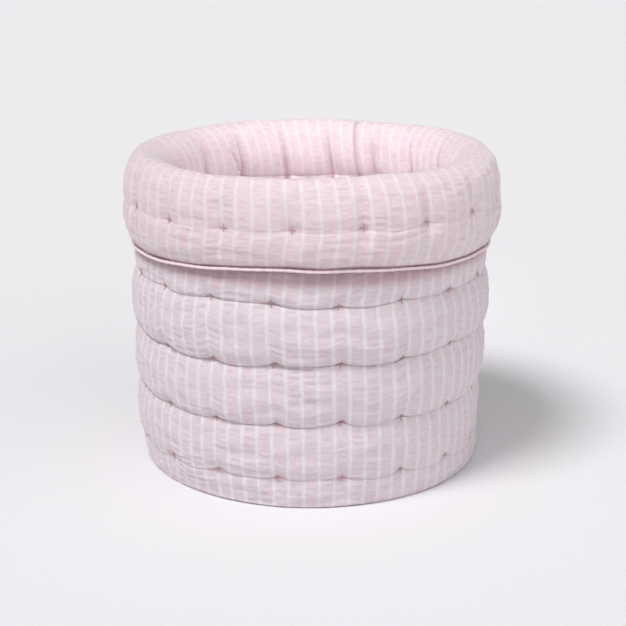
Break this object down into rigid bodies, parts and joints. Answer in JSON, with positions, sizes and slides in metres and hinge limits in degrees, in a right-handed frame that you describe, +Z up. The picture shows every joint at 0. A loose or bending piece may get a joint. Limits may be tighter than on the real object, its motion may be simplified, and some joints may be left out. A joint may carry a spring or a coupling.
{
  "type": "quilted fabric basket",
  "caption": "Round soft quilted fabric basket in a pale crinkled stripe, with its padded rim folded down outside as a deep cuff.",
  "frame": {"origin": "centre of the underside, on the surface that the basket stands on", "axes": "+Z up along the basket's axis; -Y towards the front, the side that faces the viewer"},
  "size_m": [0.304, 0.304, 0.254],
  "materials": {
    "outer_fabric": "matte crinkled cotton with fine pale stripes",
    "lining_fabric": "matte crinkled cotton with fine pale stripes",
    "binding": "matte plain cotton",
    "batting": "matte lofted polyester",
    "board": "matte pressed fibre board",
    "thread": "matte cotton thread"
  },
  "bodies": {
    "root": {"base_outer_fabric": "outer_fabric", "base_seam_stitching": "thread", "base_board": "board", "base_batting": "batting", "base_lining_fabric": "lining_fabric", "base_seam_binding": "binding", "wall_outer_fabric": "outer_fabric", "wall_batting": "batting", "wall_lining_fabric": "lining_fabric", "cuff_edge_stitching": "thread", "cuff_edge_binding": "binding", "tack_row_1": "thread", "tack_row_2": "thread", "tack_row_3": "thread", "tack_row_4": "thread", "tack_row_mouth": "thread", "tack_row_cuff": "thread", "base_tack_row_1": "thread", "base_tack_row_2": "thread", "base_tack_row_3": "thread", "base_tack_row_4": "thread", "side_seam_stitching": "thread"}
  },
  "joints": []
}
